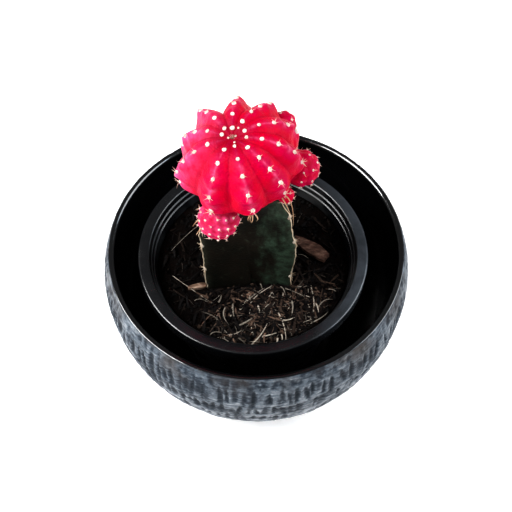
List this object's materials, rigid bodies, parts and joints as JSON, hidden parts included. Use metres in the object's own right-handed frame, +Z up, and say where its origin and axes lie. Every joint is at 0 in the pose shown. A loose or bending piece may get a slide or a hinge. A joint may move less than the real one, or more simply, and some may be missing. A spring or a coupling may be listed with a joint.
{
  "type": "potted grafted cactus",
  "caption": "Grafted cactus with a red ribbed globe and offsets on a three-angled green stem, planted in a stepped-rim nursery pot inside a round black cover bowl with a hammered outside.",
  "frame": {"origin": "under the middle of the cover bowl's foot, on the surface that it stands on", "axes": "+Z up; the front that the camera sees is -Y; +X is to the right as seen from the front"},
  "size_m": [0.1238, 0.1238, 0.1495],
  "materials": {
    "cover_bowl": "glossy black glaze inside, hammered satin glaze outside",
    "nursery_pot": "satin moulded plastic",
    "potting_soil": "rough dark bark compost with pale straws",
    "rootstock": "dull dark green cactus skin with dry horny edges",
    "scion": "satin red cactus skin with white woolly areoles",
    "bark_chip": "rough reddish-brown bark",
    "small_bark_chip": "rough light brown bark"
  },
  "bodies": {
    "root": {"cover_bowl": "cover_bowl", "nursery_pot": "nursery_pot", "potting_soil": "potting_soil", "rootstock": "rootstock", "scion": "scion", "bark_chip": "bark_chip", "small_bark_chip": "small_bark_chip"}
  },
  "joints": []
}
